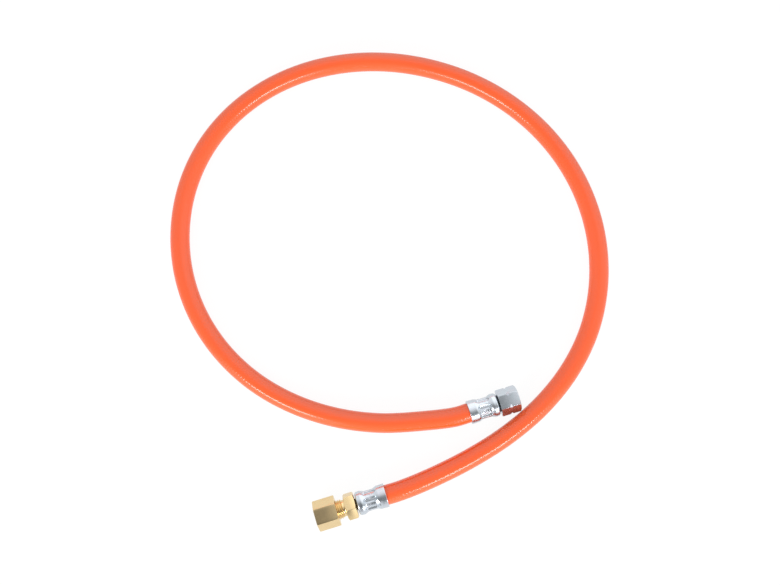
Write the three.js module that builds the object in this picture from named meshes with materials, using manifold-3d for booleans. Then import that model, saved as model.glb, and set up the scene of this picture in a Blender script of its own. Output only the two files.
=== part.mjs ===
import * as THREE from 'three';
import { mergeVertices, toCreasedNormals } from 'three/addons/utils/BufferGeometryUtils.js';
import Module from 'manifold-3d';

const wasm = await Module();
wasm.setup();

// Flexible gas hose, lying in one loose open loop. Millimetres, +Z up, resting on Z = 0.
// One end has a free-turning steel nut, the other a brass compression fitting for a metal pipe.
// Both fittings point along the X axis: the steel one to +X, the brass one to -X.

// Hose
const hoseDiameter = 14.3;
const hoseBore = 6.3;
const hoseSides = 12;
const boreSides = 8;
const hoseSteps = 56;
const straightRun = 10.0;         // the hose leaves each ferrule straight for this length
const steelMouth = [19.4, -120.7];
const brassMouth = [-54.6, -159.0];

// Route of the free hose from the steel end to the brass end: x, y and a share of the end's rise
const hoseRoute = [
  [-13.2, -116.8, 0.7],
  [-44.8, -108.8, 0.15],
  [-74.5, -95.4, 0],
  [-101.3, -76.6, 0],
  [-123.8, -52.8, 0],
  [-140.3, -24.6, 0],
  [-149.8, 6.6, 0],
  [-151.6, 39.3, 0],
  [-145.5, 71.5, 0],
  [-131.9, 101.2, 0],
  [-111.4, 126.5, 0],
  [-85.0, 145.8, 0],
  [-54.6, 158.0, 0],
  [-22.3, 162.8, 0],
  [10.3, 160.5, 0],
  [41.8, 151.8, 0],
  [71.1, 137.3, 0],
  [97.4, 117.8, 0],
  [119.5, 93.7, 0],
  [136.5, 65.8, 0],
  [147.4, 35.0, 0],
  [151.6, 2.5, 0],
  [148.7, -30.0, 0],
  [138.8, -61.1, 0],
  [122.0, -89.4, 0],
  [99.2, -112.8, 0],
  [71.9, -130.9, 0],
  [41.7, -143.7, 0.05],
  [10.0, -152.1, 0.25],
  [-22.4, -157.2, 0.75],
];

// Ferrules
const ferruleLength = 21.6;
const ferruleWall = 0.9;
const bellPlay = 0.55;            // between the hose and the ferrule at its open mouth
const bellTaper = 0.15;           // the bell narrows this much along the mouth
const waistRise = 0.2;            // the crimped waist stands this far outside the free hose's radius
const waistDish = 0.1;
const mouthLength = 5.2;
const mouthFlare = 3.4;
const shoulderFlare = 3.8;
const shoulderLength = 3.2;
const shoulderDrop = 1.4;         // the shoulder is rolled in by this towards the fitting
const dentCount = 8;
const dentLength = 9.4;
const dentDepth = 0.8;
const dentSlope = 0.35;
const dentRib = 2.0;              // left standing between the floors of two dents
const innerRib = 0.15;            // the same inside the ferrule, where the wall is folded sharply

// Hose tails
const tailWall = 0.9;
const barbRise = 0.3;             // the barbs stretch the bore of the hose by this on the radius
const barbHeight = 0.45;
const barbCount = 4;
const barbCrest = 0.3;
const barbStart = 2.0;
const tipLength = 0.6;
const neckStep = 0.55;            // from the barbs up to the plain neck
const collarStep = 1.5;
const collarWidth = 0.7;
const fittingGap = 1.0;           // between each ferrule and the fitting beside it
const steelDentTurn = -4;         // degrees that each ring of dents is turned from facing up
const brassDentTurn = 4;

// Steel swivel nut for a 1/4 inch left-hand gas thread
const swivelAcrossFlats = 17.0;
const swivelLength = 14.7;
const swivelBackWall = 3.4;
const swivelThreadBore = 11.6;
const swivelEntryStep = 1.0;
const markDepth = 0.8;            // the turned groove that nicks each corner of a left-hand nut
const markWidth = 2.2;
const headPlay = 0.5;
const headWidth = 2.0;
const noseStep = 0.4;
const noseLength = 3.8;
const noseAngle = 60.0;
const noseRings = 5;

// Brass compression fitting with a 14 mm thread
const pipeDiameter = 8.0;
const bodyAcrossFlats = 17.0;
const bodyHexLength = 7.5;
const bodyHexTurn = 17.5;         // degrees that the hexagon is turned from lying flat
const undercutDiameter = 11.8;
const undercutLength = 2.9;
const maleThreadDiameter = 13.9;
const maleThreadLength = 8.7;
const exposedThread = 3.3;        // left in view with the nut screwed on by hand
const socketPlay = 0.05;
const socketDepth = 10.0;
const socketStep = 1.0;           // the pipe's stop at the bottom of its socket
const coneRise = 1.0;             // the cone's mouth is this much wider than the socket, on the radius
const coneAngle = 12.0;
const compressionAcrossFlats = 19.0;
const compressionBackWall = 3.1;
const tighteningRoom = 3.6;       // thread in the nut beyond the end of the body
const holePlay = 0.25;
const ringPlay = 0.1;             // between the pipe and the cutting ring
const ringWall = 1.3;
const ringNose = 2.2;
const ringLength = 8.8;
const ringTaper = 1.0;

// Shared
const seatGap = 0.3;              // between pieces that touch
const coneGap = 0.2;              // between the ring's nose and the body's cone
const threadPlay = 0.15;          // between the male thread and the nut, on the radius
const chamferAngle = 30.0;
const smallChamfer = 0.4;
const turnedSides = 24;
const shellSides = 32;
const nutSides = 48;
const dentArcSteps = 4;
const creaseAngle = Math.PI / 5;
const overcut = 1.0;              // cutting shapes run this far past the faces that they open

const radians = THREE.MathUtils.degToRad;
const cornerReach = 1 / Math.cos(radians(30));

const hoseRadius = hoseDiameter / 2;
const bellRadius = hoseRadius + bellPlay + ferruleWall;
const waistRadius = hoseRadius + waistRise;
const waistStart = mouthLength + mouthFlare;
const shoulderStart = ferruleLength - shoulderLength;
const waistEnd = shoulderStart - shoulderFlare;
const dentMiddle = (waistStart + waistEnd) / 2;
const dentFloor = waistRadius - dentDepth;
const innerFloor = dentFloor - ferruleWall;
const halfPitch = Math.sin(Math.PI / dentCount);
const dentHalfWidth = dentFloor * halfPitch - dentRib / 2;
const innerHalfWidth = innerFloor * halfPitch - innerRib / 2;
const dentReach = dentLength / 2 + innerHalfWidth - dentHalfWidth;
const closedEnd = ferruleLength - ferruleWall;
const collarStart = closedEnd - seatGap - collarWidth;
const hoseGrip = collarStart - seatGap;

const barbRadius = hoseBore / 2 + barbRise;
const barbRoot = barbRadius - barbHeight;
const barbPitch = (collarStart - barbStart) / barbCount;
const tailBore = barbRoot - tailWall;
const neckRadius = barbRadius + neckStep;
const nutStart = ferruleLength + fittingGap;

const socketRadius = pipeDiameter / 2 + socketPlay;
const bodyHexEnd = nutStart + bodyHexLength;
const maleStart = bodyHexEnd + undercutLength;
const maleEnd = maleStart + maleThreadLength;
const coneSlope = Math.tan(radians(coneAngle));
const ringStart = maleEnd - ringNose;
const ringEnd = ringStart + ringLength;
const ringRadius = pipeDiameter / 2 + ringPlay + ringWall;

// Brings a closed three.js geometry to a solid that can be cut and joined
function solidFrom(geometry) {
  const bare = geometry.clone();
  bare.deleteAttribute('normal');
  bare.deleteAttribute('uv');
  const merged = mergeVertices(bare);
  const places = merged.attributes.position.array;
  const whole = [];
  for (let i = 0; i < merged.index.count; i += 3) {
    const [a, b, c] = merged.index.array.slice(i, i + 3);
    if (a !== b && b !== c && c !== a) whole.push([a, b, c]);
  }
  const turnedOut = volumeOf(places, whole) > 0 ? whole : whole.map(([a, b, c]) => [a, c, b]);
  return new wasm.Manifold(new wasm.Mesh({
    numProp: 3,
    vertProperties: Float32Array.from(places),
    triVerts: Uint32Array.from(turnedOut.flat()),
  }));
}

function volumeOf(places, triangles) {
  const corner = (i) => new THREE.Vector3().fromArray(places, 3 * i);
  const parts = triangles.map(([a, b, c]) => corner(a).dot(corner(b).cross(corner(c))) / 6);
  return parts.reduce((sum, part) => sum + part, 0);
}

function meshFrom(name, solid, material) {
  const { vertProperties, triVerts } = solid.getMesh();
  const geometry = new THREE.BufferGeometry();
  geometry.setAttribute('position', new THREE.BufferAttribute(vertProperties, 3));
  geometry.setIndex(new THREE.BufferAttribute(triVerts, 1));
  const mesh = new THREE.Mesh(toCreasedNormals(geometry, creaseAngle), material);
  mesh.name = name;
  return mesh;
}

// Turns a closed outline of [distance along X, radius] points about the X axis
function turned(outline, sides = turnedSides) {
  const points = outline.map(([along, radius]) => new THREE.Vector2(radius, along));
  const lathe = new THREE.LatheGeometry([...points, points[0].clone()], sides);
  return solidFrom(lathe.rotateZ(-Math.PI / 2));
}

// A round bar along X, used to cut bores
function bar(from, to, radius) {
  return turned([[from, 0], [from, radius], [to, radius], [to, 0]]);
}

// A hexagonal bar along X with flats up and down, its ends turned to a chamfer
function hexBar(from, to, acrossFlats, backCut, frontCut) {
  const cornerRadius = acrossFlats / 2 * cornerReach;
  const corners = ringOfPoints(cornerRadius, 6).map((point) => new THREE.Vector2(point.y, point.x));
  const prism = new THREE.ExtrudeGeometry(new THREE.Shape(corners), {
    depth: to - from,
    bevelEnabled: false,
  });
  prism.rotateY(Math.PI / 2).translate(from, 0, 0);
  const slope = Math.tan(radians(chamferAngle));
  const turning = turned([
    [from, 0],
    [from, cornerRadius - backCut],
    [from + 2 * backCut * slope, cornerRadius + backCut],
    [to - 2 * frontCut * slope, cornerRadius + frontCut],
    [to, cornerRadius - frontCut],
    [to, 0],
  ], nutSides);
  return solidFrom(prism).intersect(turning);
}

function ringOfPoints(radius, sides) {
  const points = [];
  for (let i = 0; i < sides; i += 1) {
    const angle = i * Math.PI * 2 / sides;
    points.push(new THREE.Vector2(radius * Math.cos(angle), radius * Math.sin(angle)));
  }
  return points;
}

// The ring of crimping jaws: rounded blocks pressed in as far as a floor. The wall under the dents
// stands as far in as its own floor, and wider than the dents by what is left of it at their sides.
function crimpJaws(halfWidth, floor, slope) {
  const straight = dentLength / 2 - dentHalfWidth;
  const face = new THREE.Shape();
  face.absarc(straight, 0, halfWidth, -Math.PI / 2, Math.PI / 2);
  face.absarc(-straight, 0, halfWidth, Math.PI / 2, Math.PI * 1.5);
  const block = new THREE.ExtrudeGeometry(face, {
    depth: hoseRadius,
    curveSegments: dentArcSteps,
    bevelEnabled: slope > 0,
    bevelSize: slope,
    bevelOffset: -slope,
    bevelThickness: slope,
    bevelSegments: 1,
  });
  const jaw = solidFrom(block.translate(dentMiddle, 0, floor + slope));
  const jaws = [];
  for (let i = 0; i < dentCount; i += 1) {
    jaws.push(jaw.rotate([i * 360 / dentCount, 0, 0]));
  }
  return wasm.Manifold.union(jaws);
}

// The ferrule's outside before the jaws close, from its open mouth at X = 0
function ferruleOutline() {
  return [
    [0, bellRadius],
    [mouthLength, bellRadius - bellTaper],
    [waistStart, waistRadius + waistDish],
    [dentMiddle, waistRadius],
    [waistEnd, waistRadius + waistDish],
    [shoulderStart, bellRadius],
    [ferruleLength - shoulderDrop, bellRadius - bellTaper],
    [ferruleLength - shoulderDrop / 3, bellRadius - shoulderDrop / 2],
    [ferruleLength, bellRadius - shoulderDrop],
  ];
}

function ferrule(name, dentTurn, material) {
  const outside = ferruleOutline();
  const inside = outside.map(([along, radius]) => [Math.min(along, closedEnd), radius - ferruleWall]);
  const shell = turned([[0, 0], ...outside, [ferruleLength, 0]], shellSides);
  const room = turned([
    [-overcut, 0],
    [-overcut, bellRadius - ferruleWall],
    ...inside,
    [closedEnd, 0],
  ], shellSides);
  const pressed = shell.subtract(crimpJaws(dentHalfWidth, dentFloor, dentSlope));
  const hollow = room.subtract(crimpJaws(innerHalfWidth, innerFloor, 0));
  const neckHole = bar(0, ferruleLength + overcut, neckRadius + seatGap);
  const sleeve = pressed.subtract(hollow).subtract(neckHole);
  return meshFrom(name, sleeve.rotate([dentTurn, 0, 0]), material);
}

// What the ferrule squeezes off the end of the hose, and the bore that its tail stretches
function squeezedEnd() {
  const play = ferruleWall + seatGap;
  const reach = dentReach + seatGap;
  const outer = hoseRadius + play;
  const ring = turned([
    [0, bellRadius - play],
    [mouthLength, bellRadius - bellTaper - play],
    [dentMiddle - reach, innerFloor - seatGap],
    [dentMiddle + reach, innerFloor - seatGap],
    [shoulderStart, bellRadius - play],
    [hoseGrip + overcut, bellRadius - play],
    [hoseGrip + overcut, outer],
    [0, outer],
  ]);
  return ring.add(bar(barbStart - 2 * tipLength, hoseGrip + overcut, barbRadius + seatGap));
}

// The part of a tail that both fittings share: barbs, the collar that holds the ferrule, the neck
function barbedOutline() {
  const outline = [[barbStart - tipLength, 0], [barbStart - tipLength, barbRoot]];
  for (let i = 0; i < barbCount; i += 1) {
    const root = barbStart + i * barbPitch;
    outline.push([root, barbRoot]);
    outline.push([root + barbPitch - barbCrest, barbRadius]);
    outline.push([root + barbPitch, barbRadius]);
  }
  outline.push([collarStart, neckRadius + collarStep]);
  outline.push([collarStart + collarWidth, neckRadius + collarStep]);
  outline.push([collarStart + collarWidth, neckRadius]);
  return outline;
}

function swivelTail(material) {
  const headStart = nutStart + swivelBackWall + seatGap;
  const noseStart = headStart + headWidth;
  const noseEnd = noseStart + noseLength;
  const headRadius = swivelThreadBore / 2 - headPlay;
  const outline = [
    ...barbedOutline(),
    [headStart, neckRadius],
    [headStart, headRadius],
    [noseStart, headRadius],
  ];
  for (let i = 0; i <= noseRings; i += 1) {
    const angle = radians(noseAngle) * i / noseRings;
    const along = noseLength * Math.sin(angle) / Math.sin(radians(noseAngle));
    outline.push([noseStart + along, (headRadius - noseStep) * Math.cos(angle)]);
  }
  outline.push([noseEnd, 0]);
  const bore = bar(0, noseEnd + overcut, tailBore);
  return meshFrom('swivel_tail', turned(outline).subtract(bore), material);
}

function swivelNut(material) {
  const from = nutStart;
  const to = from + swivelLength;
  const flat = swivelAcrossFlats / 2;
  const corner = flat * cornerReach;
  const hex = hexBar(from, to, swivelAcrossFlats, smallChamfer, corner - flat);
  const middle = (from + to) / 2;
  const mark = turned([
    [middle, corner - markDepth],
    [middle - markWidth, corner + markDepth],
    [middle + markWidth, corner + markDepth],
  ], nutSides);
  const threaded = swivelThreadBore / 2;
  const room = turned([
    [from + swivelBackWall, 0],
    [from + swivelBackWall, threaded],
    [to - swivelEntryStep, threaded],
    [to + swivelEntryStep, threaded + 2 * swivelEntryStep],
    [to + swivelEntryStep, 0],
  ]);
  const neckHole = bar(from - overcut, to, neckRadius + seatGap);
  return meshFrom('swivel_nut', hex.subtract(mark).subtract(room).subtract(neckHole), material);
}

function compressionBody(material) {
  const flat = bodyAcrossFlats / 2;
  const chamfer = flat * cornerReach - flat;
  const hex = hexBar(nutStart, bodyHexEnd, bodyAcrossFlats, chamfer, chamfer);
  const male = maleThreadDiameter / 2;
  const undercut = undercutDiameter / 2;
  const spine = turned([
    ...barbedOutline(),
    [nutStart + bodyHexLength / 2, neckRadius],
    [nutStart + bodyHexLength / 2, undercut],
    [maleStart - (male - undercut), undercut],
    [maleStart, male],
    [maleEnd - smallChamfer, male],
    [maleEnd, male - smallChamfer],
    [maleEnd, 0],
  ]);
  const cone = turned([
    [maleEnd + overcut, 0],
    [maleEnd + overcut, socketRadius + coneRise + overcut * coneSlope],
    [maleEnd - coneRise / coneSlope, socketRadius],
    [maleEnd - socketDepth, socketRadius],
    [maleEnd - socketDepth, 0],
  ]);
  const gasWay = bar(0, maleEnd, tailBore);
  const wideWay = bar(nutStart + tailWall, maleEnd, socketRadius - socketStep);
  const body = hex.rotate([bodyHexTurn, 0, 0]).add(spine).subtract(cone).subtract(gasWay);
  return meshFrom('compression_body', body.subtract(wideWay), material);
}

// The hardened ring bites into the pipe when the nut pushes it down the body's cone
function cuttingRing(material) {
  const bore = pipeDiameter / 2 + ringPlay;
  const mouth = socketRadius + coneRise - coneGap;
  const ring = turned([
    [ringStart, bore],
    [ringStart, mouth - ringNose * coneSlope],
    [maleEnd, mouth],
    [maleEnd + seatGap, mouth],
    [maleEnd + seatGap, ringRadius],
    [ringEnd - ringTaper, ringRadius],
    [ringEnd, ringRadius - ringTaper],
    [ringEnd, bore],
  ]);
  return meshFrom('cutting_ring', ring, material);
}

function compressionNut(material) {
  const from = maleStart + exposedThread;
  const hole = pipeDiameter / 2 + holePlay;
  const room = ringRadius + seatGap;
  const coneStart = ringEnd - ringTaper + seatGap;
  const coneEnd = coneStart + room - hole;
  const to = coneEnd + compressionBackWall;
  const flat = compressionAcrossFlats / 2;
  const hex = hexBar(from, to, compressionAcrossFlats, smallChamfer, flat * cornerReach - flat);
  const threaded = maleThreadDiameter / 2 + threadPlay;
  const inside = turned([
    [from - overcut, 0],
    [from - overcut, threaded + smallChamfer],
    [from, threaded + smallChamfer],
    [from + smallChamfer, threaded],
    [maleEnd + tighteningRoom, threaded],
    [maleEnd + tighteningRoom, room],
    [coneStart, room],
    [coneEnd, hole],
    [to + overcut, hole],
    [to + overcut, 0],
  ]);
  return meshFrom('compression_nut', hex.subtract(inside), material);
}

// The steel end lies on its ferrule or nut, the brass end on its nut or the body's lowest corner
function steelHeight() {
  return Math.max(bellRadius, swivelAcrossFlats / 2);
}

function brassHeight() {
  const corner = bodyAcrossFlats / 2 * cornerReach;
  const lowest = corner * Math.cos(radians(30 - bodyHexTurn));
  return Math.max(bellRadius, compressionAcrossFlats / 2, lowest);
}

function hosePath() {
  const steelEnd = (along) => new THREE.Vector3(steelMouth[0] + along, steelMouth[1], steelHeight());
  const brassEnd = (along) => new THREE.Vector3(brassMouth[0] - along, brassMouth[1], brassHeight());
  const half = hoseRoute.length / 2;
  const free = hoseRoute.map(([x, y, share], i) => {
    const endHeight = i < half ? steelHeight() : brassHeight();
    return new THREE.Vector3(x, y, hoseRadius + share * (endHeight - hoseRadius));
  });
  return new THREE.CatmullRomCurve3([
    steelEnd(hoseGrip),
    steelEnd(0),
    steelEnd(-straightRun),
    ...free,
    brassEnd(-straightRun),
    brassEnd(0),
    brassEnd(hoseGrip),
  ]);
}

function hose(material) {
  const section = new THREE.Shape(ringOfPoints(hoseRadius, hoseSides));
  section.holes.push(new THREE.Path(ringOfPoints(hoseBore / 2, boreSides)));
  const tube = new THREE.ExtrudeGeometry(section, { steps: hoseSteps, extrudePath: hosePath() });
  const atSteel = squeezedEnd().translate([...steelMouth, steelHeight()]);
  const atBrass = squeezedEnd().rotate([0, 0, 180]).translate([...brassMouth, brassHeight()]);
  return meshFrom('hose', solidFrom(tube).subtract(atSteel).subtract(atBrass), material);
}

function finish(color, metalness, roughness) {
  return new THREE.MeshStandardMaterial({ color, metalness, roughness });
}

const zincSteel = () => finish(0xc4ccd0, 1, 0.28);
const brass = () => finish(0xd8b878, 1, 0.22);

const steelFitting = new THREE.Group();
steelFitting.add(ferrule('swivel_ferrule', steelDentTurn, zincSteel()));
steelFitting.add(swivelTail(zincSteel()));
steelFitting.add(swivelNut(zincSteel()));
steelFitting.position.set(...steelMouth, steelHeight());

const brassFitting = new THREE.Group();
brassFitting.add(ferrule('compression_ferrule', brassDentTurn, zincSteel()));
brassFitting.add(compressionBody(brass()));
brassFitting.add(cuttingRing(finish(0xb9bec2, 1, 0.35)));
brassFitting.add(compressionNut(brass()));
brassFitting.position.set(...brassMouth, brassHeight());
brassFitting.rotation.z = Math.PI;

const gasHose = new THREE.Group();
gasHose.add(hose(finish(0xff6a3c, 0, 0.3)));
gasHose.add(steelFitting);
gasHose.add(brassFitting);

export default gasHose;
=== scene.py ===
from math import atan, cos, hypot, pi, radians, sin, sqrt, tan

import bmesh
import bpy
from mathutils import Euler, Matrix, Vector
from mathutils.geometry import interpolate_bezier


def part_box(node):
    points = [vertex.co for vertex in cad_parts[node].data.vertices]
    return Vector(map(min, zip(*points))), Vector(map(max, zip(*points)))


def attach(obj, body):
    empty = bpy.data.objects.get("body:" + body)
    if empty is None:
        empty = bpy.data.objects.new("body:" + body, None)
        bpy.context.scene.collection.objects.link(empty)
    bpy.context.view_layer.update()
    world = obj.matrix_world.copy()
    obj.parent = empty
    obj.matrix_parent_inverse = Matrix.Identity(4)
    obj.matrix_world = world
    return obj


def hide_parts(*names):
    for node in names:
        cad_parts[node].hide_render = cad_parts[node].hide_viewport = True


# Flexible gas hose: orange PVC hose in a loose loop, a zinc-plated steel end and a brass end.
# Everything is in metres in the row frame. Sizes in the dictionaries are millimetres.

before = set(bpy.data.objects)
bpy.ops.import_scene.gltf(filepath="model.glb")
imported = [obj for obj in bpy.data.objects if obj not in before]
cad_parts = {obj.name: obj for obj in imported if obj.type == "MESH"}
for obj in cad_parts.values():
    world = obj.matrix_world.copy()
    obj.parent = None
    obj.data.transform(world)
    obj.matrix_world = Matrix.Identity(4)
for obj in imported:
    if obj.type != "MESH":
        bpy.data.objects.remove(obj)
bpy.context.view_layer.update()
mm = 0.001
mergeDistance = 0.001       # millimetres
print("frame loaded:", ", ".join(sorted(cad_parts)))


# Camera, a little off straight down and turned so that the fittings run uphill to the right

cameraLook = {
    "aim": (-9.5, -19.7, 7.15),
    "distance": 702.0,
    "tilt": 9.0,            # degrees off straight down
    "turn": -16.9,          # degrees about the upright
    "lens": 43.85,
    "sensor": 36.0,
}


def addCamera(look):
    data = bpy.data.cameras.new("camera")
    data.lens = look["lens"]
    data.sensor_width = look["sensor"]
    camera = bpy.data.objects.new("camera", data)
    camera.rotation_euler = Euler((radians(look["tilt"]), 0, radians(look["turn"])))
    forward = camera.rotation_euler.to_matrix() @ Vector((0, 0, -1))
    camera.location = (Vector(look["aim"]) - look["distance"] * forward) * mm
    bpy.context.scene.collection.objects.link(camera)
    bpy.context.scene.camera = camera


addCamera(cameraLook)
print("camera placed")


# Materials

def linear(hexColour):
    # sRGB hex to the linear values that a shader takes
    channels = [int(hexColour[i:i + 2], 16) / 255 for i in (1, 3, 5)]
    return [c / 12.92 if c <= 0.04045 else ((c + 0.055) / 1.055) ** 2.4 for c in channels] + [1.0]


def addNode(tree, kind, inputs=None, **settings):
    # a node with its settings; each input is a plain value or another node's output
    node = tree.nodes.new(kind)
    for name, value in settings.items():
        setattr(node, name, value)
    for key, value in (inputs or {}).items():
        if isinstance(value, bpy.types.NodeSocket):
            tree.links.new(value, node.inputs[key])
        else:
            node.inputs[key].default_value = value
    return node


def newMaterial(name):
    material = bpy.data.materials.new(name)
    material.use_nodes = True
    material.node_tree.nodes.clear()
    return material, material.node_tree


def plasticisedPvc(look):
    # Plasticised PVC drawn over a braid by an extruder: a wet gloss, with the braid just telling
    # through as a faint ripple that breaks the ends of each highlight into dashes
    material, tree = newMaterial("plasticisedPvcExtruded")
    place = addNode(tree, "ShaderNodeTexCoord")
    along = addNode(tree, "ShaderNodeSeparateXYZ", {0: place.outputs["UV"]})
    aroundWave = addNode(tree, "ShaderNodeMath", {
        0: along.outputs["Y"], 1: 2 * pi * look["helixStarts"]}, operation="MULTIPLY")
    wave = addNode(tree, "ShaderNodeMath", {
        0: along.outputs["X"], 1: 2 * pi / (look["braidPitch"] * mm), 2: aroundWave.outputs[0]},
        operation="MULTIPLY_ADD")
    ripple = addNode(tree, "ShaderNodeMath", {0: wave.outputs[0]}, operation="SINE")
    wander = addNode(tree, "ShaderNodeTexNoise", {
        "Vector": place.outputs["Object"], "Scale": 1 / (look["wander"] * mm), "Detail": 2.0})
    braid = addNode(tree, "ShaderNodeBump", {
        "Strength": 1.0, "Distance": look["rippleHeight"] * mm, "Height": ripple.outputs[0]})
    wobble = addNode(tree, "ShaderNodeBump", {
        "Strength": 1.0, "Distance": look["wobbleHeight"] * mm,
        "Height": wander.outputs["Fac"], "Normal": braid.outputs["Normal"]})
    colour = addNode(tree, "ShaderNodeMix", {
        0: wander.outputs["Fac"], 6: linear(look["colour"]), 7: linear(look["deeper"])},
        data_type="RGBA")
    gloss = addNode(tree, "ShaderNodeMapRange", {
        "Value": wander.outputs["Fac"], "To Min": look["roughness"][0], "To Max": look["roughness"][1]})
    shader = addNode(tree, "ShaderNodeBsdfPrincipled", {
        "Base Color": colour.outputs[2], "Roughness": gloss.outputs[0], "IOR": look["ior"],
        "Normal": wobble.outputs["Normal"], "Coat Weight": look["bloom"], "Coat IOR": look["ior"],
        "Coat Roughness": look["bloomRoughness"]})
    addNode(tree, "ShaderNodeOutputMaterial", {"Surface": shader.outputs[0]})
    return material


def machinedMetal(name, look, axis):
    # A metal with the marks of its making: lines along the flats where the bar was drawn, rings
    # about the fitting's own line where a lathe faced or turned it
    material, tree = newMaterial(name)
    place = addNode(tree, "ShaderNodeTexCoord")
    centred = addNode(tree, "ShaderNodeMapping", {
        "Vector": place.outputs["Object"], "Location": (0, -axis[1], -axis[2])})
    parts = addNode(tree, "ShaderNodeSeparateXYZ", {0: centred.outputs[0]})
    outward = addNode(tree, "ShaderNodeCombineXYZ", {"Y": parts.outputs["Y"], "Z": parts.outputs["Z"]})
    radius = addNode(tree, "ShaderNodeVectorMath", {0: outward.outputs[0]}, operation="LENGTH")
    turnedPlace = addNode(tree, "ShaderNodeCombineXYZ", {
        "X": parts.outputs["X"], "Y": radius.outputs["Value"]})
    # Real lathe marks are under 0.1 mm apart: these are drawn coarser, so that they show
    rings = addNode(tree, "ShaderNodeTexNoise", {
        "Vector": turnedPlace.outputs[0], "Scale": 1 / (look["markPitch"] * mm), "Detail": 1.0})
    drawnPlace = addNode(tree, "ShaderNodeMapping", {
        "Vector": place.outputs["Object"], "Scale": (look["drawnStretch"], 1, 1)})
    lines = addNode(tree, "ShaderNodeTexNoise", {
        "Vector": drawnPlace.outputs[0], "Scale": 1 / (look["markPitch"] * mm), "Detail": 1.0})
    shape = addNode(tree, "ShaderNodeNewGeometry")
    facing = addNode(tree, "ShaderNodeSeparateXYZ", {0: shape.outputs["Normal"]})
    endward = addNode(tree, "ShaderNodeMath", {0: facing.outputs["X"]}, operation="ABSOLUTE")
    isEnd = addNode(tree, "ShaderNodeMapRange", {
        "Value": endward.outputs[0], "From Min": look["endFacing"][0],
        "From Max": look["endFacing"][1]})
    marks = addNode(tree, "ShaderNodeMix", {
        0: isEnd.outputs[0], 2: lines.outputs["Fac"], 3: rings.outputs["Fac"]})
    cloud = addNode(tree, "ShaderNodeTexNoise", {
        "Vector": place.outputs["Object"], "Scale": 1 / (look["cloud"] * mm), "Detail": 3.0})
    colour = addNode(tree, "ShaderNodeMix", {
        0: cloud.outputs["Fac"], 6: linear(look["colour"]), 7: linear(look["tint"])},
        data_type="RGBA")
    roughness = addNode(tree, "ShaderNodeMapRange", {
        "Value": cloud.outputs["Fac"], "From Min": look["cloudRange"][0],
        "From Max": look["cloudRange"][1], "To Min": look["roughness"][0],
        "To Max": look["roughness"][1]})
    bump = addNode(tree, "ShaderNodeBump", {
        "Strength": 1.0, "Distance": look["markHeight"] * mm, "Height": marks.outputs[0]})
    shader = addNode(tree, "ShaderNodeBsdfPrincipled", {
        "Base Color": colour.outputs[2], "Metallic": 1.0,
        "Roughness": roughness.outputs[0], "Normal": bump.outputs["Normal"]})
    addNode(tree, "ShaderNodeOutputMaterial", {"Surface": shader.outputs[0]})
    return material


pvcLook = {
    "colour": "#FD6127",
    "deeper": "#FB5C24",
    "roughness": (0.12, 0.18),
    "ior": 1.53,
    "bloom": 0.4,           # thin film of plasticiser that hazes the gloss
    "bloomRoughness": 0.5,
    "braidPitch": 2.45,     # crossings of the braid along the hose
    "helixStarts": 2,
    "rippleHeight": 0.014,
    "wander": 45.0,         # length of the slow changes left by the extruder
    "wobbleHeight": 0.25,
}

# Marks that the tools leave on every metal here: pitch and height are millimetres
toolMarks = {
    "markPitch": 0.35,
    "markHeight": 0.006,
    "drawnStretch": 0.06,       # width over length of the lines that a drawn bar keeps
    "endFacing": (0.1, 0.3),    # a face shows lathe rings as it comes to look along the fitting
    "cloudRange": (0.3, 0.7),
}

# Bright zinc plate reads as cool, blue-grey mirror, a little clouded by its passivation
zincLook = {
    **toolMarks,
    "colour": "#C4D2D8",
    "tint": "#CFCFD8",
    "roughness": (0.16, 0.3),
    "cloud": 4.0,
}

# Free-cutting brass reads as pale, warm gold with sharp reflections on its turned faces
brassLook = {
    **toolMarks,
    "colour": "#EAD2A4",
    "tint": "#E2C794",
    "roughness": (0.14, 0.26),
    "cloud": 5.0,
}

# A pressed sleeve keeps the sheet's own skin, duller than a turned one
sleeveLook = dict(zincLook, roughness=(0.19, 0.31))

# Hardened steel under thin plate reads as a darker, softer grey
hardSteelLook = dict(zincLook, colour="#B9C0C4", tint="#C6C6CC", roughness=(0.25, 0.38))


# Where each fitting lies: a ferrule's open mouth is its zero, and it runs along X from there

def fittingOf(ferrule, heading):
    low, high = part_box(ferrule)
    middle = (low + high) / 2
    mouth = Vector((low.x if heading > 0 else high.x, middle.y, middle.z))
    turned = Matrix.Rotation(0 if heading > 0 else pi, 4, "Z")
    return {
        "mouth": mouth,
        "heading": heading,
        "matrix": Matrix.Translation(mouth) @ turned @ Matrix.Scale(mm, 4),
        "radius": (high.y - low.y) / 2 / mm,
    }


def spanOf(node, fitting):
    # first and last place of a CAD node along its fitting, millimetres from the ferrule's mouth
    ends = [(corner.x - fitting["mouth"].x) * fitting["heading"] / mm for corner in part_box(node)]
    return min(ends), max(ends)


steelEnd = fittingOf("swivel_ferrule", 1)
brassEnd = fittingOf("compression_ferrule", -1)

pvc = plasticisedPvc(pvcLook)
zincOnSteel = machinedMetal("brightZincPlateOnTurnedSteel", zincLook, steelEnd["mouth"])
steelSleeveZinc = machinedMetal("zincPlateOnPressedSteelAtSteelEnd", sleeveLook, steelEnd["mouth"])
brassSleeveZinc = machinedMetal("zincPlateOnPressedSteelAtBrassEnd", sleeveLook, brassEnd["mouth"])
turnedBrass = machinedMetal("freeCuttingBrassTurned", brassLook, brassEnd["mouth"])
hardSteel = machinedMetal("hardenedSteelZincPlated", hardSteelLook, brassEnd["mouth"])
print("materials made")


# Mesh helpers: sizes inside them are millimetres in the fitting's own line

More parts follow.
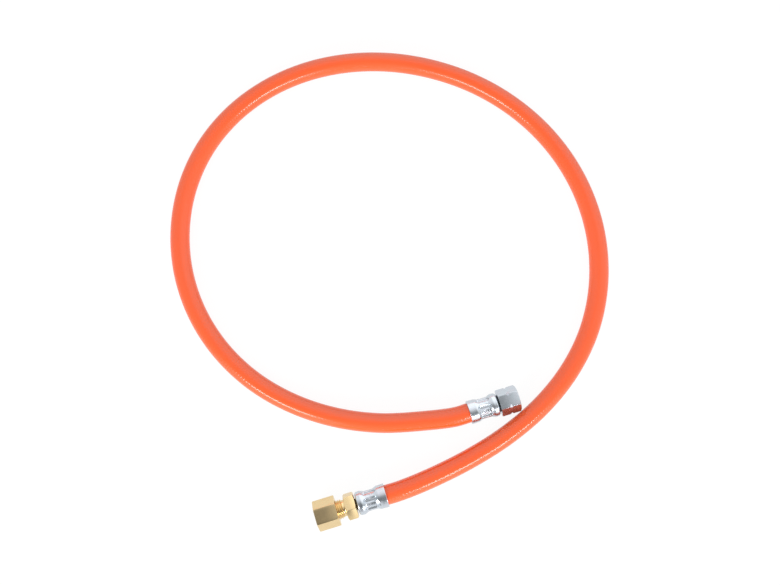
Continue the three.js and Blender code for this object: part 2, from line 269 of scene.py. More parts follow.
def pieceFrom(name, bm, material, matrix=None):
    bmesh.ops.remove_doubles(bm, verts=bm.verts[:], dist=mergeDistance)
    if matrix:
        bmesh.ops.transform(bm, matrix=matrix, verts=bm.verts[:])
    bmesh.ops.recalc_face_normals(bm, faces=bm.faces[:])
    for face in bm.faces:
        face.smooth = True
    mesh = bpy.data.meshes.new(name)
    bm.to_mesh(mesh)
    bm.free()
    mesh.materials.append(material)
    piece = bpy.data.objects.new(name, mesh)
    bpy.context.scene.collection.objects.link(piece)
    return piece


def growRings(angles, stations):
    # Grows a closed body about the X axis: a circle is extruded from station to station, and the
    # last one meets the first. A station places a point at an angle, and may have a crisp edge.
    bm = bmesh.new()
    angleAt = bm.verts.layers.float.new("angle")
    ring = bmesh.ops.create_circle(bm, segments=len(angles), radius=1)["verts"]
    for vert, angle in zip(ring, angles):
        vert[angleAt] = angle
    edges = bm.edges[:]
    for i, (place, crisp) in enumerate([*stations, stations[0]]):
        if i:
            grown = bmesh.ops.extrude_edge_only(bm, edges=edges)["geom"]
            ring = [item for item in grown if isinstance(item, bmesh.types.BMVert)]
            edges = [item for item in grown if isinstance(item, bmesh.types.BMEdge)]
        for vert in ring:
            along, radius = place(vert[angleAt])
            vert.co = (along, radius * cos(vert[angleAt]), radius * sin(vert[angleAt]))
        for edge in edges:
            edge.smooth = not crisp
    return bm


def roundRing(along, radius, crisp=True):
    return (lambda angle: (along, radius)), crisp


def spinOutline(outline, steps=96, sharpAngle=28):
    # Turns a closed outline of (along, radius) points about the X axis, as on a lathe
    bm = bmesh.new()
    verts = [bm.verts.new((along, 0, radius)) for along, radius in outline]
    edges = [bm.edges.new((a, b)) for a, b in zip(verts, verts[1:] + verts[:1])]
    bmesh.ops.spin(bm, geom=verts + edges, cent=(0, 0, 0), axis=(1, 0, 0), dvec=(0, 0, 0),
                   angle=2 * pi, steps=steps, use_merge=True)
    bm.normal_update()
    for edge in bm.edges:
        edge.smooth = edge.calc_face_angle(0) < radians(sharpAngle)
    return bm


def evenSteps(start, end, longest):
    # places from start to end, no further apart than the longest step
    count = max(1, round(abs(end - start) / longest))
    return [start + (end - start) * i / count for i in range(count + 1)]


def eased(value, low, high):
    # 0 below low, 1 above high and an S-curve between
    t = min(1, max(0, (value - low) / (high - low)))
    return t * t * (3 - 2 * t)


# Ferrules: a pressed sleeve whose wall, inside and out, follows eight crimped dents

ferruleSizes = {
    "wall": 0.9,
    # along the sleeve, and how far below its widest it lies there
    "outline": [(0, 0), (5.2, 0.15), (8.6, 1.15), (11.6, 1.25), (14.6, 1.15), (18.4, 0), (20.2, 0.12)],
    "lip": 0.3,
    "lipSteps": 3,
    "rollIn": 1.4,
    "rollLength": 1.4,
    "dents": 8,
    "dentMiddle": 11.6,
    "dentLength": 9.4,
    "dentWidth": 3.3,
    "dentFloor": 6.4,
    "dentSlope": 0.7,
    "lipRise": 0.08,
    "lipWidth": 0.35,
    "neckHole": 4.3,
    "step": 0.22,
    "sides": 216,
}


def sleeveRadius(along, widest, sizes):
    outline = sizes["outline"]
    for (start, dropStart), (end, dropEnd) in zip(outline, outline[1:]):
        if along <= end:
            return widest - dropStart - (dropEnd - dropStart) * eased(along, start, end)
    return widest - outline[-1][1]


def crimpedRadius(along, angle, widest, turn, sizes):
    # the sleeve's outside once the jaws have pressed their rounded pads into it
    plain = sleeveRadius(along, widest, sizes)
    pitch = 2 * pi / sizes["dents"]
    off = (angle - pi / 2 - turn + pitch / 2) % pitch - pitch / 2
    halfWidth = sizes["dentWidth"] / 2
    straight = sizes["dentLength"] / 2 - halfWidth
    beyond = hypot(max(abs(along - sizes["dentMiddle"]) - straight, 0), plain * sin(off)) - halfWidth
    share = eased(beyond, -sizes["dentSlope"], sizes["dentSlope"] / 2)
    raised = sizes["lipRise"] * max(0, 1 - abs(beyond - sizes["lipWidth"]) / sizes["lipWidth"])
    return min(plain, sizes["dentFloor"]) * (1 - share) + (plain + raised) * share


def makeFerrule(name, fitting, turn, material, sizes):
    length = spanOf(name, fitting)[1]
    widest = fitting["radius"]
    wall = sizes["wall"]
    lip = sizes["lip"]
    rollStart = length - sizes["rollLength"]

    def outside(along):
        def place(angle):
            radius = crimpedRadius(along, angle, widest, turn, sizes)
            if along < lip:
                radius -= lip - sqrt(lip ** 2 - (lip - along) ** 2)
            if along > rollStart:
                share = (along - rollStart) / sizes["rollLength"]
                radius -= sizes["rollIn"] * (1 - sqrt(max(0, 1 - share ** 2)))
            return along, radius
        return place, False

    def inside(along):
        def place(angle):
            return along, crimpedRadius(along, angle, widest, turn, sizes) - wall
        return place, False

    stations = [outside(along) for along in evenSteps(0, lip, lip / sizes["lipSteps"])]
    stations += [outside(along) for along in evenSteps(lip, rollStart, sizes["step"])[1:]]
    stations += [outside(along) for along in evenSteps(rollStart, length, sizes["step"] / 2)[1:]]
    stations += [
        roundRing(length, sizes["neckHole"]),
        roundRing(length - wall, sizes["neckHole"]),
        roundRing(length - wall, widest - wall - sizes["rollIn"] / 2),
    ]
    stations += [inside(along) for along in evenSteps(rollStart, 0, 2 * sizes["step"])]
    angles = [2 * pi * i / sizes["sides"] for i in range(sizes["sides"])]
    return pieceFrom(name + "Pressed", growRings(angles, stations), material, fitting["matrix"])


steelDentTurn = radians(-4)
brassDentTurn = radians(4)
swivelFerrule = makeFerrule("swivel_ferrule", steelEnd, steelDentTurn, steelSleeveZinc,
                            ferruleSizes)
brassFerrule = makeFerrule("compression_ferrule", brassEnd, brassDentTurn, brassSleeveZinc,
                           ferruleSizes)
print("ferrules pressed and crimped")


# Hose: one tube, squeezed in both ferrules, its bore stretched over the barbed tails

hoseSizes = {
    "diameter": 14.3,
    "bore": 6.3,
    "sides": 48,
    "ringStep": 2.4,
    "boreStep": 7.2,
    "straightRun": 10.0,
    "grip": 19.4,
    "endStep": 0.45,
    "stretchedBore": 7.3,
    "boreEase": 3.0,
    "squeezeGap": 0.06,
    "length": 1.05,         # metres of cut hose, both grips included
}

# Route of the free hose from the steel end to the brass end: x, y and a share of the end's rise.
# The same points as in part.mjs. They were traced from the photo by a program and spaced evenly,
# not chosen by hand.
hoseRoute = [
    (-0.0132, -0.1168, 0.7), (-0.0448, -0.1088, 0.15), (-0.0745, -0.0954, 0),
    (-0.1013, -0.0766, 0), (-0.1238, -0.0528, 0), (-0.1403, -0.0246, 0),
    (-0.1498, 0.0066, 0), (-0.1516, 0.0393, 0), (-0.1455, 0.0715, 0),
    (-0.1319, 0.1012, 0), (-0.1114, 0.1265, 0), (-0.0850, 0.1458, 0),
    (-0.0546, 0.1580, 0), (-0.0223, 0.1628, 0), (0.0103, 0.1605, 0),
    (0.0418, 0.1518, 0), (0.0711, 0.1373, 0), (0.0974, 0.1178, 0),
    (0.1195, 0.0937, 0), (0.1365, 0.0658, 0), (0.1474, 0.0350, 0),
    (0.1516, 0.0025, 0), (0.1487, -0.0300, 0), (0.1388, -0.0611, 0),
    (0.1220, -0.0894, 0), (0.0992, -0.1128, 0), (0.0719, -0.1309, 0),
    (0.0417, -0.1437, 0.05), (0.0100, -0.1521, 0.25), (-0.0224, -0.1572, 0.75),
]


def routePoints(sizes):
    radius = sizes["diameter"] / 2 * mm
    steel, brass = steelEnd["mouth"], brassEnd["mouth"]
    points = [steel + Vector((away * mm, 0, 0)) for away in (sizes["grip"], 0, -sizes["straightRun"])]
    for i, (x, y, share) in enumerate(hoseRoute):
        endHeight = steel.z if i < len(hoseRoute) / 2 else brass.z
        points.append(Vector((x, y, radius + share * (endHeight - radius))))
    points += [brass - Vector((away * mm, 0, 0)) for away in (-sizes["straightRun"], 0, sizes["grip"])]
    return points


def smoothPath(points, stepAt):
    # centripetal curve through the points; stepAt gives the longest step for a span
    padded = [2 * points[0] - points[1], *points, 2 * points[-1] - points[-2]]
    path = [points[0]]
    for i, (p0, p1, p2, p3) in enumerate(zip(padded, padded[1:], padded[2:], padded[3:])):
        k0, k1, k2 = [sqrt((b - a).length) for a, b in ((p0, p1), (p1, p2), (p2, p3))]
        leaving = ((p1 - p0) / k0 - (p2 - p0) / (k0 + k1) + (p2 - p1) / k1) * k1
        coming = ((p2 - p1) / k1 - (p3 - p1) / (k1 + k2) + (p3 - p2) / k2) * k1
        count = max(1, round((p2 - p1).length / stepAt(i)))
        path += interpolate_bezier(p1, p1 + leaving / 3, p2 - coming / 3, p2, count + 1)[1:]
    return path


def lengthsAlong(path):
    lengths = [0]
    for a, b in zip(path, path[1:]):
        lengths.append(lengths[-1] + (b - a).length)
    return lengths


def makeHose(sizes):
    points = routePoints(sizes)
    lastSpan = len(points) - 2

    def finely(span):
        return (sizes["endStep"] if span in (0, lastSpan) else sizes["ringStep"]) * mm

    def coarsely(span):
        return (2 * sizes["endStep"] if span in (0, lastSpan) else sizes["boreStep"]) * mm

    path = smoothPath(points, finely)
    borePath = smoothPath(points, coarsely)
    whole = lengthsAlong(path)[-1]
    free = sizes["diameter"] / 2
    bore = sizes["bore"] / 2
    stretched = sizes["stretchedBore"] / 2
    grip = sizes["grip"]

    def gripped(travel):
        # how far inside a ferrule this place is, and which fitting holds it
        fromSteel = grip - travel / mm
        fromBrass = grip - (whole - travel) / mm
        return (fromSteel, steelEnd) if fromSteel > fromBrass else (fromBrass, brassEnd)

    def outsideRadius(travel, angle):
        along, fitting = gripped(travel)
        if along <= 0:
            return free
        # the ring's angles run the other way round in the steel end
        spun, turn = (pi - angle, steelDentTurn) if fitting is steelEnd else (angle, brassDentTurn)
        inner = crimpedRadius(along, spun, fitting["radius"], turn, ferruleSizes)
        return min(free, inner - ferruleSizes["wall"] - sizes["squeezeGap"])

    def boreRadius(travel, angle):
        along, fitting = gripped(travel)
        return bore + (stretched - bore) * eased(along, 0, sizes["boreEase"])

    bm = bmesh.new()
    angleAt = bm.verts.layers.float.new("angle")
    travelAt = bm.verts.layers.float.new("travel")
    ring = bmesh.ops.create_circle(bm, segments=sizes["sides"], radius=1)["verts"]
    for i, vert in enumerate(ring):
        vert[angleAt] = 2 * pi * i / sizes["sides"]
    edges = bm.edges[:]
    first = edges

    def placeRing(verts, centre, tangent, travel, radiusAt):
        side = Vector((0, 0, 1)).cross(tangent).normalized()
        rise = tangent.cross(side)
        for vert in verts:
            angle = vert[angleAt]
            out = side * cos(angle) + rise * sin(angle)
            vert.co = centre / mm + out * radiusAt(travel, angle)
            vert[travelAt] = travel

    def runAlong(line, travels, radiusAt, ring, edges, fresh):
        for i, centre in enumerate(line):
            if not (fresh and i == 0):
                grown = bmesh.ops.extrude_edge_only(bm, edges=edges)["geom"]
                ring = [item for item in grown if isinstance(item, bmesh.types.BMVert)]
                edges = [item for item in grown if isinstance(item, bmesh.types.BMEdge)]
            before, after = line[max(0, i - 1)], line[min(len(line) - 1, i + 1)]
            heading = (after - before).normalized() * (1 if travels[-1] > travels[0] else -1)
            placeRing(ring, centre, heading, travels[i], radiusAt)
        return ring, edges

    ring, edges = runAlong(path, lengthsAlong(path), outsideRadius, ring, edges, True)
    backTravels = lengthsAlong(borePath)[::-1]
    ring, edges = runAlong(borePath[::-1], backTravels, boreRadius, ring, edges, False)
    bmesh.ops.bridge_loops(bm, edges=first + edges)

    # the pattern's place along the hose in metres, and around it in turns
    layer = bm.loops.layers.uv.new("UVMap")
    for face in bm.faces:
        turns = [loop.vert[angleAt] / (2 * pi) for loop in face.loops]
        for loop, turn in zip(face.loops, turns):
            loop[layer].uv = (loop.vert[travelAt], turn + 1 if max(turns) - turn > 0.5 else turn)
    hose = pieceFrom("hosePvc", bm, pvc, Matrix.Scale(mm, 4))
    return hose, path


hose, hosePath = makeHose(hoseSizes)
print("hose laid,", round(lengthsAlong(hosePath)[-1], 3), "m along its middle")


# Turned and milled fittings

turningSizes = {
    "cornerRound": 0.2,
    "edgeRound": 0.16,
    "edgeSteps": 3,
    "chamfer": tan(radians(30)),
    "flatSteps": 12,
    "cornerSteps": 4,
    "threadSteps": 12,      # rings to each turn of a thread
    "threadSteepness": 1.3,
    "threadFlat": 0.12,     # lowers the ridge, which leaves a flat root between two turns
    "threadFade": 0.6,      # turns in which a thread grows to its full height
}


def hexFrom(across, turn):
    # a hexagonal bar, flats up and down before it is turned, its corners a little rounded
    flat = across / 2
    rounding = turningSizes["cornerRound"]
    centre = (flat - rounding) / cos(pi / 6)
    arc = atan(rounding / 2 / (centre + rounding * cos(pi / 6)))

    def radiusAt(angle):
        off = (angle - pi / 2 - turn + pi / 6) % (pi / 3) - pi / 6
        corner = pi / 6 - abs(off)
        if corner > arc:
            return flat / cos(off)
        return centre * cos(corner) + sqrt(rounding ** 2 - (centre * sin(corner)) ** 2)

    angles = []
    for k in range(6):
        middle = pi / 2 + turn + k * pi / 3
        half = pi / 6 - arc
        flatSteps, cornerSteps = turningSizes["flatSteps"], turningSizes["cornerSteps"]
        angles += [middle - half + 2 * half * i / flatSteps for i in range(flatSteps + 1)]
        angles += [middle + half + 2 * arc * i / cornerSteps for i in range(1, cornerSteps)]
    return {"radiusAt": radiusAt, "angles": angles, "flat": flat, "corner": centre + rounding}


def hexEnd(bar, end, inward, circle):
    # rings from the end face out to the hexagon, past an edge turned to a 30 degree chamfer
    edge = turningSizes["edgeRound"]
    slope = turningSizes["chamfer"]

    def ring(t):
        def place(angle):
            full = bar["radiusAt"](angle) - edge
            if t is None:
                return end, min(full, circle)
            radius = full + edge * sin(t)
            return end + inward * (edge * (1 - cos(t)) + max(0, radius - circle) * slope), radius
        return place, False
    return [ring(None)] + [ring(t) for t in evenSteps(0, pi / 2, pi / 2 / turningSizes["edgeSteps"])]


def nickRings(bar, middle, depth, width):
    # a V groove turned round the bar, which reaches only its six corners
    floor = bar["corner"] - depth

    def ring(side):
        def place(angle):
            full = bar["radiusAt"](angle)
            cut = max(0, full - floor)
            return middle + side * cut * width / depth / 2, full if side else min(full, floor)
        return place, True
    return [ring(-1), ring(0), ring(1)]


def threadRings(start, end, crest, root, pitch, hand):
    # rings along a screw thread, from start to end either way; hand is 1 for a right-hand thread
    first, last = min(start, end), max(start, end)
    steepness, cutOff = turningSizes["threadSteepness"], turningSizes["threadFlat"]
    fade = turningSizes["threadFade"] * pitch

    def ring(along):
        def place(angle):
            turn = (along / pitch - hand * angle / (2 * pi)) % 1
            ridge = min(1, max(0, steepness * (1 - abs(2 * turn - 1)) - cutOff))
            ridge *= eased(along, first, first + fade)
            ridge *= 1 - eased(along, last - fade, last)
            return along, root + (crest - root) * ridge
        return place, False
    return [ring(along) for along in evenSteps(start, end, pitch / turningSizes["threadSteps"])]


swivelNutSizes = {
    "across": 17.0,
    "neckHole": 4.3,
    "holeChamfer": 0.2,
    "backWall": 3.4,
    "backChamfer": 0.4,
    "threadRoot": 6.55,
    "threadCrest": 5.8,
    "pitch": 1.337,         # 19 to the inch
    "entry": 1.0,
    "markDepth": 0.8,
    "markWidth": 2.2,
}


def makeSwivelNut(sizes):
    start, end = spanOf("swivel_nut", steelEnd)
    bar = hexFrom(sizes["across"], 0)
    room = start + sizes["backWall"]
    entry = end - sizes["entry"]
    crest, root = sizes["threadCrest"], sizes["threadRoot"]
    middle = (start + end) / 2
    stations = [
        roundRing(start + sizes["holeChamfer"], sizes["neckHole"]),
        roundRing(start, sizes["neckHole"] + sizes["holeChamfer"]),
        *hexEnd(bar, start, 1, bar["corner"] - sizes["backChamfer"]),
        *nickRings(bar, middle, sizes["markDepth"], sizes["markWidth"]),
        *hexEnd(bar, end, -1, bar["flat"])[::-1],
        roundRing(end, crest + sizes["entry"]),
        roundRing(entry, crest),
        *threadRings(entry, room + sizes["pitch"], crest, root, sizes["pitch"], -1),
        roundRing(room, root),
        roundRing(room, sizes["neckHole"]),
    ]
    return pieceFrom("swivelNutTurned", growRings(bar["angles"], stations), zincOnSteel,
                     steelEnd["matrix"])


swivelNut = makeSwivelNut(swivelNutSizes)

barbSizes = {
    "tip": 1.4,
    "start": 2.0,
    "pitch": 4.425,
    "count": 4,
    "crestWidth": 0.3,
    "root": 3.0,
    "crest": 3.45,
    "collar": (19.7, 20.4, 5.5),
    "neck": 4.0,
    "bore": 2.1,
    "tipChamfer": 0.3,
    "edge": 0.15,
}


def barbOutline(sizes):
    # the hose tail of both fittings: barbs, the collar behind the ferrule and the neck after it
    cut, edge = sizes["tipChamfer"], sizes["edge"]
    outline = [(sizes["tip"], sizes["bore"]), (sizes["tip"], sizes["root"] - cut),
               (sizes["tip"] + cut, sizes["root"])]
    for i in range(sizes["count"]):
        root = sizes["start"] + i * sizes["pitch"]
        outline += [(root, sizes["root"]), (root + sizes["pitch"] - sizes["crestWidth"], sizes["crest"]),
                    (root + sizes["pitch"], sizes["crest"])]
    collarStart, collarEnd, collar = sizes["collar"]
    outline += [(collarStart, collar - edge), (collarStart + edge, collar), (collarEnd - edge, collar),
                (collarEnd, collar - edge), (collarEnd, sizes["neck"] + edge),
                (collarEnd + edge, sizes["neck"])]
    return outline


swivelTailSizes = {
    # the flange takes the neck's painted shade, which makes it dark
    "flange": (21.8, 22.35, 6.2),   # shows dark between ferrule and nut
    "flangeEdge": 0.1,
    "edge": 0.2,
    "headStart": 26.3,
    "head": 5.3,
    "headEnd": 28.3,
    "nose": 4.9,
    "noseLength": 3.8,
    "noseAngle": 60.0,
    "noseSteps": 12,
}


def makeSwivelTail(sizes):
    start, end, head = sizes["headStart"], sizes["headEnd"], sizes["head"]
    flangeStart, flangeEnd, flange = sizes["flange"]
    neck, bore = barbSizes["neck"], barbSizes["bore"]
    edge, thin = sizes["edge"], sizes["flangeEdge"]
    outline = barbOutline(barbSizes) + [
        (flangeStart, neck), (flangeStart, flange - thin), (flangeStart + thin, flange),
        (flangeEnd - thin, flange), (flangeEnd, flange - thin), (flangeEnd, neck),
        (start, neck), (start, head - edge), (start + edge, head), (end - edge, head),
        (end, head - edge)]
    sweep = radians(sizes["noseAngle"])
    for i in range(sizes["noseSteps"] + 1):
        angle = sweep * i / sizes["noseSteps"]
        outline.append((end + sizes["noseLength"] * sin(angle) / sin(sweep),
                        sizes["nose"] * cos(angle)))
    tip = end + sizes["noseLength"]
    outline += [(tip, bore + edge), (tip - edge, bore)]
    return pieceFrom("swivelTailTurned", spinOutline(outline), zincOnSteel, steelEnd["matrix"])


swivelTail = makeSwivelTail(swivelTailSizes)
print("steel fitting made")

bodySizes = {
    "across": 17.0,
    "turn": 17.5,
    "hexLength": 7.5,
    "undercut": 5.9,
    "undercutLength": 2.0,
    "threadCrest": 6.95,
    "threadRoot": 6.1,
    "pitch": 1.5,
    "coneMouth": 5.05,
    "coneAngle": 12.0,
    "socket": 4.05,
    "socketDepth": 10.0,
    "wideWay": 3.05,
    "wideStart": 23.5,
    "undercutRound": 0.2,
    "threadStop": 0.5,
    "endChamfer": 0.4,
}

# The brass hexagon starts as far from its ferrule's mouth as the steel nut does from its own
hexStart = spanOf("swivel_nut", steelEnd)[0]


def makeBody(sizes):
    start = hexStart
    end = start + sizes["hexLength"]
    threadStart = end + sizes["undercutLength"]
    last = spanOf("compression_body", brassEnd)[1]
    bar = hexFrom(sizes["across"], radians(sizes["turn"]))
    crest, root, under = sizes["threadCrest"], sizes["threadRoot"], sizes["undercut"]
    edge, relief = barbSizes["edge"], sizes["undercutRound"]
    threadStop = last - sizes["threadStop"]
    coneEnd = last - (sizes["coneMouth"] - sizes["socket"]) / tan(radians(sizes["coneAngle"]))
    stations = [roundRing(*point) for point in barbOutline(barbSizes)]
    stations += [
        roundRing(start - edge, barbSizes["neck"]),
        roundRing(start, barbSizes["neck"] + edge),
        *hexEnd(bar, start, 1, bar["flat"]),
        *hexEnd(bar, end, -1, bar["flat"])[::-1],
        roundRing(end, under + relief),
        roundRing(end + relief, under, False),
        roundRing(threadStart - relief, under, False),
        roundRing(threadStart, root),
        *threadRings(threadStart, threadStop, crest, root, sizes["pitch"], 1),
        roundRing(threadStop, root),
        roundRing(last, root - sizes["endChamfer"]),
        roundRing(last, sizes["coneMouth"]),
        roundRing(coneEnd, sizes["socket"]),
        roundRing(last - sizes["socketDepth"], sizes["socket"]),
        roundRing(last - sizes["socketDepth"], sizes["wideWay"]),
        roundRing(sizes["wideStart"], sizes["wideWay"]),
        roundRing(sizes["wideStart"], barbSizes["bore"]),
    ]
    return pieceFrom("bodyTurned", growRings(bar["angles"], stations), turnedBrass, brassEnd["matrix"])


compressionBody = makeBody(bodySizes)

# The cutting ring's section: along from its nose, and radius
ringSection = [(0, 4.1), (0, 4.38), (2.2, 4.85), (2.5, 4.85), (2.5, 5.3), (2.6, 5.4),
               (7.8, 5.4), (8.8, 4.4), (8.8, 4.1)]


def makeCuttingRing(section):
    nose = spanOf("cutting_ring", brassEnd)[0]
    outline = [(nose + along, radius) for along, radius in section]
    return pieceFrom("cuttingRingTurned", spinOutline(outline), hardSteel, brassEnd["matrix"])


cuttingRing = makeCuttingRing(ringSection)

compressionNutSizes = {
    "across": 19.0,
    "backChamfer": 0.4,
    "frontChamfer": 0.6,
    "threadCrest": 6.25,
    "threadRoot": 7.1,
    "pitch": 1.5,
    "threadLength": 9.0,
    "room": 5.7,
    "cone": 1.45,
    "frontWall": 3.1,
    "hole": 4.25,
    "holeChamfer": 0.3,
    "entry": 0.4,
    "threadRunOut": 1.0,
}


def makeCompressionNut(sizes):
    start, end = spanOf("compression_nut", brassEnd)
    bar = hexFrom(sizes["across"], 0)
    crest, root = sizes["threadCrest"], sizes["threadRoot"]
    threadEnd = start + sizes["threadLength"]
    coneEnd = end - sizes["frontWall"]
    entry, cut = sizes["entry"], sizes["holeChamfer"]
    stations = [
        roundRing(start + entry, root),
        roundRing(start, root + entry),
        *hexEnd(bar, start, 1, bar["corner"] - sizes["backChamfer"]),
        *hexEnd(bar, end, -1, bar["corner"] - sizes["frontChamfer"])[::-1],
        roundRing(end, sizes["hole"] + cut),
        roundRing(end - cut, sizes["hole"]),
        roundRing(coneEnd, sizes["hole"]),
        roundRing(coneEnd - sizes["cone"], sizes["room"]),
        roundRing(threadEnd, sizes["room"]),
        roundRing(threadEnd, root),
        *threadRings(threadEnd - sizes["threadRunOut"], start + entry, crest, root, sizes["pitch"], 1),
    ]
    return pieceFrom("compressionNutTurned", growRings(bar["angles"], stations), turnedBrass,
                     brassEnd["matrix"])


compressionNut = makeCompressionNut(compressionNutSizes)
print("brass fitting made")


# Both necks lie deep between ferrule and fitting: their faces there are painted dark and dull, as
# painted shade for the shadow in that gap

neckShadeLook = {
    "zinc": dict(zincLook, colour="#4A5254", tint="#565B5C", roughness=(0.4, 0.5)),
    "brass": dict(brassLook, colour="#4C4126", tint="#5A4D2E", roughness=(0.4, 0.5)),
    "from": 20.6,
    "to": 25.5,
    "radius": 6.3,
}


def paintNeckShade(piece, fitting, material, look):
    piece.data.materials.append(material)
    back = fitting["matrix"].inverted()
    # faces within the neck's span take the dark material, which is painted shade
    for face in piece.data.polygons:
        along, across, up = back @ face.center
        if look["from"] < along < look["to"] and hypot(across, up) < look["radius"]:
            face.material_index = 1


paintNeckShade(swivelTail, steelEnd, machinedMetal("zincWithPaintedShadeInRecess", neckShadeLook["zinc"], steelEnd["mouth"]),
         neckShadeLook)
paintNeckShade(compressionBody, brassEnd,
         machinedMetal("brassWithPaintedShadeInRecess", neckShadeLook["brass"], brassEnd["mouth"]), neckShadeLook)


# What each piece stands for and what it moves with

pieces = {
    "hose": (hose, "root", "hose_cover"),
    "swivel_ferrule": (swivelFerrule, "root", "zinc_plate"),
    "swivel_tail": (swivelTail, "root", "zinc_plate"),
    "swivel_nut": (swivelNut, "swivel_nut", "zinc_plate"),
    "compression_ferrule": (brassFerrule, "root", "zinc_plate"),
    "compression_body": (compressionBody, "root", "bright_brass"),
    "cutting_ring": (cuttingRing, "cutting_ring", "hard_steel"),
    "compression_nut": (compressionNut, "compression_nut", "bright_brass"),
}
for node, (piece, body, slotName) in pieces.items():
    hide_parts(node)
    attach(piece, body)
print("pieces joined to their nodes")


# Studio: strip lights, a sky seen only in reflections, and a pale floor under a white ground

stripLook = {
    "turns": (-71.9, -141.9),       # degrees about the upright, from +X
    "height": 30.0,
    "distance": 1.5,
    "size": (0.58, 0.3),
    "watts": 5.8,
    "seenInGloss": True,
}

# A low, broad fill from the picture's bottom edge, which lights the near side of the hose
fillLook = {
    "turns": (-106.9,),
    "height": 12.0,
    "distance": 1.5,
    "size": (1.0, 0.3),
    "watts": 8.5,
    "seenInGloss": False,
}


def addLamps(name, look):
    for turn in look["turns"]:
        data = bpy.data.lights.new(name, "AREA")
        data.shape = "RECTANGLE"
        data.size, data.size_y = look["size"]
        data.energy = look["watts"]
        lamp = bpy.data.objects.new(name, data)
        up, about = radians(look["height"]), radians(turn)
        away = Vector((cos(up) * cos(about), cos(up) * sin(about), sin(up)))
        lamp.location = away * look["distance"]
        lamp.rotation_euler = away.to_track_quat("Z", "Y").to_euler()
        lamp.visible_glossy = look["seenInGloss"]
        bpy.context.scene.collection.objects.link(lamp)


addLamps("strip", stripLook)
addLamps("fill", fillLook)

# Levels run from overhead down to the floor, by degrees from the upright
skyLook = {
    "ground": 1.0,
    "level": 0.71,
    "bottomTurn": -106.9,           # across the table to the picture's bottom edge
    "sideBlend": 0.8,               # how gently the picture's top side passes into its bottom side
    "topSide": ((0, 0.42), (9, 0.6), (18, 0.88), (30, 1.16), (50, 1.36), (90, 1.4)),
    "bottomSide": ((0, 0.42), (12, 0.34), (22, 0.24), (40, 0.26), (62, 0.4), (90, 0.6)),
    "brightest": 1.4,
    "sideways": (0.86, 1.2),                # darker to -X, lighter to +X
    "sidewaysReach": 0.15,
    "boxTurns": stripLook["turns"],
    "boxHalfWidth": (12.0, 26.0),
    "boxTop": (44.0, 64.0),
    "boxLevel": 0.88,
}


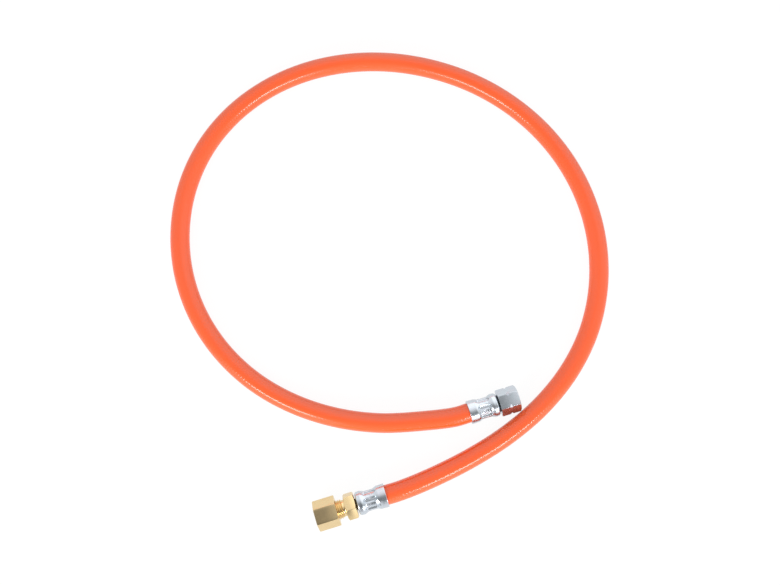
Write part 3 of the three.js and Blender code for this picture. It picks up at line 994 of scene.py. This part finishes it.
def addSky(look):
    world = bpy.data.worlds.new("studio")
    bpy.context.scene.world = world
    world.use_nodes = True
    tree = world.node_tree
    tree.nodes.clear()
    place = addNode(tree, "ShaderNodeTexCoord").outputs["Generated"]
    parts = addNode(tree, "ShaderNodeSeparateXYZ", {0: place})
    down = addNode(tree, "ShaderNodeMath", {0: parts.outputs["Z"]}, operation="ARCCOSINE")
    share = addNode(tree, "ShaderNodeMath", {0: down.outputs[0], 1: pi / 2}, operation="DIVIDE")
    levels = []
    for side in ("topSide", "bottomSide"):
        curve = addNode(tree, "ShaderNodeValToRGB", {0: share.outputs[0]})
        stops = curve.color_ramp.elements
        for degrees, level in look[side][1:-1]:
            stops.new(degrees / 90)
        for stop, (degrees, level) in zip(stops, look[side]):
            stop.color = [level / look["brightest"]] * 3 + [1]
        levels.append(curve.outputs["Color"])
    flat = addNode(tree, "ShaderNodeVectorMath", {0: place, 1: (1, 1, 0)}, operation="MULTIPLY")
    around = addNode(tree, "ShaderNodeVectorMath", {0: flat.outputs[0]}, operation="NORMALIZE")
    bottom = radians(look["bottomTurn"])
    toward = addNode(tree, "ShaderNodeVectorMath", {
        0: around.outputs[0], 1: (cos(bottom), sin(bottom), 0)}, operation="DOT_PRODUCT")
    side = addNode(tree, "ShaderNodeMapRange", {
        "Value": toward.outputs["Value"], "From Min": -look["sideBlend"],
        "From Max": look["sideBlend"]},
        interpolation_type="SMOOTHSTEP")
    sky = addNode(tree, "ShaderNodeMix", {0: side.outputs["Result"], 2: levels[0], 3: levels[1]})
    low, high = look["sideways"]
    lean = addNode(tree, "ShaderNodeMapRange", {
        "Value": parts.outputs["X"], "From Min": -look["sidewaysReach"],
        "From Max": look["sidewaysReach"], "To Min": low * look["brightest"],
        "To Max": high * look["brightest"]}, interpolation_type="SMOOTHSTEP")
    total = addNode(tree, "ShaderNodeMath", {0: sky.outputs[0], 1: lean.outputs["Result"]},
                    operation="MULTIPLY")
    inner, outer = [cos(radians(edge)) for edge in look["boxHalfWidth"]]
    top, full = [edge / 90 for edge in look["boxTop"]]
    height = addNode(tree, "ShaderNodeMapRange", {
        "Value": share.outputs[0], "From Min": top, "From Max": full, "To Max": look["boxLevel"]},
        interpolation_type="SMOOTHSTEP")
    for turn in look["boxTurns"]:
        about = radians(turn)
        near = addNode(tree, "ShaderNodeVectorMath", {
            0: around.outputs[0], 1: (cos(about), sin(about), 0)}, operation="DOT_PRODUCT")
        width = addNode(tree, "ShaderNodeMapRange", {
            "Value": near.outputs["Value"], "From Min": outer, "From Max": inner},
            interpolation_type="SMOOTHSTEP")
        total = addNode(tree, "ShaderNodeMath", {
            0: width.outputs["Result"], 1: height.outputs["Result"], 2: total.outputs[0]},
            operation="MULTIPLY_ADD")
    rays = addNode(tree, "ShaderNodeLightPath")
    glossy = addNode(tree, "ShaderNodeMix", {
        0: rays.outputs["Is Glossy Ray"], 2: look["level"], 3: total.outputs[0]})
    strength = addNode(tree, "ShaderNodeMix", {
        0: rays.outputs["Is Camera Ray"], 2: glossy.outputs[0], 3: look["ground"]})
    light = addNode(tree, "ShaderNodeBackground", {
        "Color": (1, 1, 1, 1), "Strength": strength.outputs[0]})
    addNode(tree, "ShaderNodeOutputWorld", {"Surface": light.outputs[0]})


addSky(skyLook)

floorLook = {"size": 12.0, "colour": "#F4F4F4", "glow": 0.88, "strength": 1.05}


def addFloor(look):
    bm = bmesh.new()
    bmesh.ops.create_grid(bm, x_segments=1, y_segments=1, size=look["size"] / 2)
    mesh = bpy.data.meshes.new("floor")
    bm.to_mesh(mesh)
    bm.free()
    # White paper sweep: lit by the lamps so that it keeps a faint shadow, and lifted to white
    material, tree = newMaterial("whitePaperSweep")
    diffuse = addNode(tree, "ShaderNodeBsdfDiffuse", {"Color": linear(look["colour"])})
    glow = addNode(tree, "ShaderNodeEmission", {
        "Color": (1, 1, 1, 1), "Strength": look["strength"]})
    rays = addNode(tree, "ShaderNodeLightPath")
    seen = addNode(tree, "ShaderNodeMath", {
        0: rays.outputs["Is Camera Ray"], 1: rays.outputs["Is Glossy Ray"]}, operation="MAXIMUM")
    share = addNode(tree, "ShaderNodeMath", {0: seen.outputs[0], 1: look["glow"]},
                    operation="MULTIPLY")
    mixed = addNode(tree, "ShaderNodeMixShader", {
        0: share.outputs[0], 1: diffuse.outputs[0], 2: glow.outputs[0]})
    addNode(tree, "ShaderNodeOutputMaterial", {"Surface": mixed.outputs[0]})
    mesh.materials.append(material)
    floor = bpy.data.objects.new("floor", mesh)
    bpy.context.scene.collection.objects.link(floor)


addFloor(floorLook)
bpy.context.scene.view_settings.view_transform = "Standard"
print("studio set")
